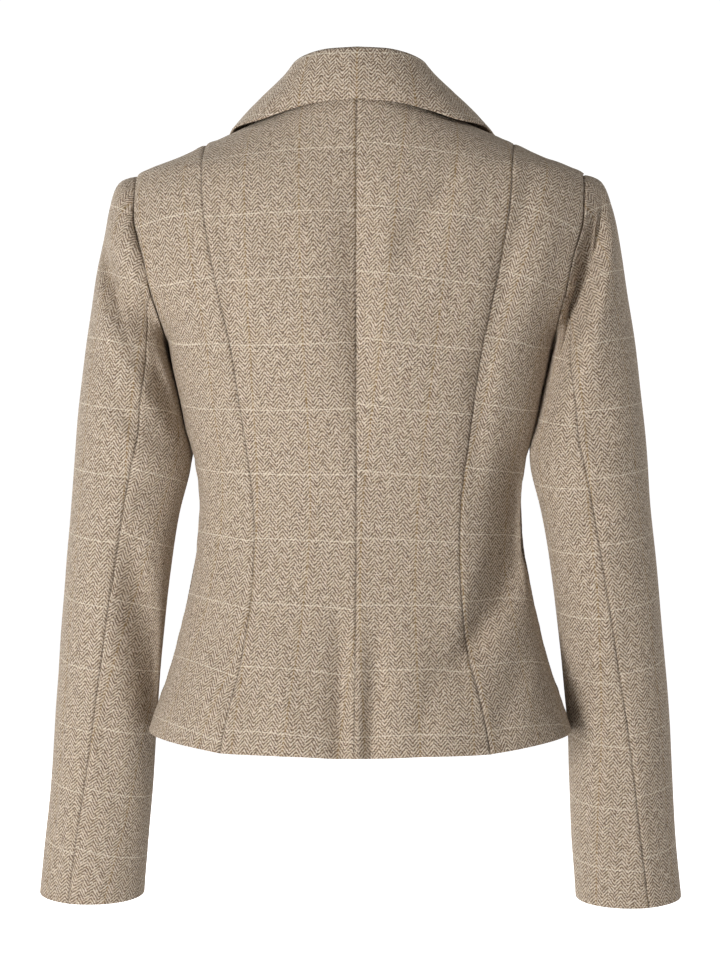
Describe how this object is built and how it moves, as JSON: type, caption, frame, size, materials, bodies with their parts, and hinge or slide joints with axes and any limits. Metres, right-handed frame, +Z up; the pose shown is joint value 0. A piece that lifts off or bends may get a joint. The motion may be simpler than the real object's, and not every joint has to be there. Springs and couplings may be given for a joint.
{
  "type": "short fitted tweed jacket, worn form",
  "caption": "Short fitted jacket in herringbone wool tweed with princess seams, set-in sleeves and a turned-down collar, filled out as if worn and open at neck, hem and cuffs.",
  "frame": {"origin": "inside the neck opening, on the middle plane, at the height where the shoulder seams would meet the side of the neck", "axes": "+Z up, -Y out of the jacket's front, +X to the wearer's left"},
  "size_m": [0.5586, 0.2514, 0.7283],
  "materials": {
    "tweed": "matte wool",
    "horn": "semi-gloss"
  },
  "bodies": {
    "root": {"back_left": "tweed", "side_back_left": "tweed", "front_left": "tweed", "back_right": "tweed", "side_back_right": "tweed", "front_right": "tweed", "sleeve_upper_left": "tweed", "sleeve_under_left": "tweed", "sleeve_upper_right": "tweed", "sleeve_under_right": "tweed", "collar": "tweed", "lapel_left": "tweed", "lapel_right": "tweed", "button_1": "horn", "button_2": "horn"}
  },
  "joints": []
}
